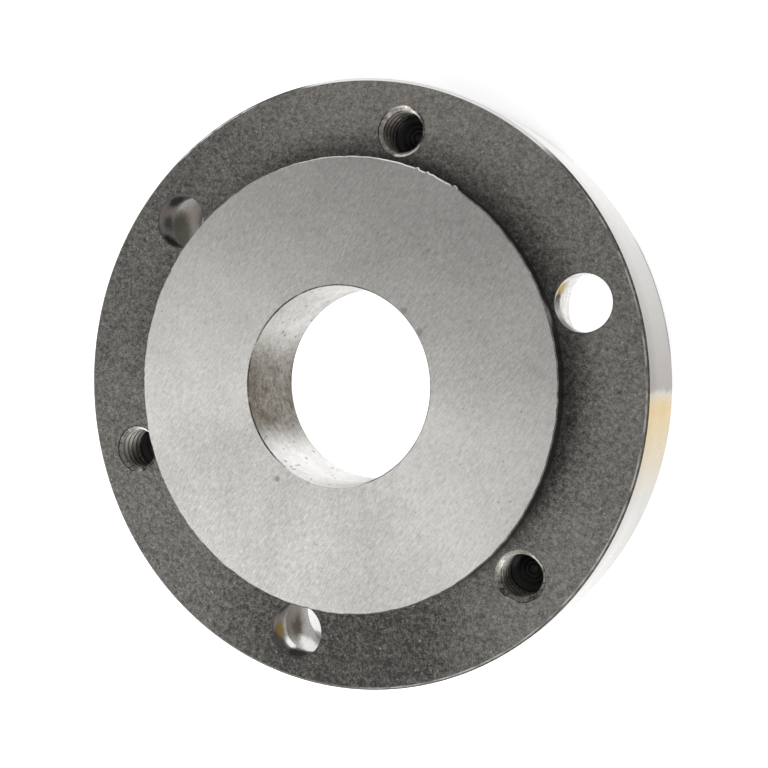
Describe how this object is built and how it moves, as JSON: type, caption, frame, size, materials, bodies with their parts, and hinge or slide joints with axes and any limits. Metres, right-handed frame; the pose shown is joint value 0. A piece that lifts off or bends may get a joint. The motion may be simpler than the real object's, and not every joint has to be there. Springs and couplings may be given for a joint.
{
  "type": "lathe chuck adapter plate",
  "caption": "Round cast iron plate with a raised centring register and a through bore, drilled and tapped to carry a lathe chuck on a spindle flange.",
  "frame": {"origin": "centre of the rear face, which the plate lies on", "axes": "+Z along the bore axis, out of the register towards the chuck; +Y through the first tapped hole"},
  "size_m": [0.1, 0.1, 0.021],
  "materials": {
    "machined_iron": "turned flange, ground register face"
  },
  "bodies": {
    "root": {"adapter_plate": "machined_iron"}
  },
  "joints": []
}
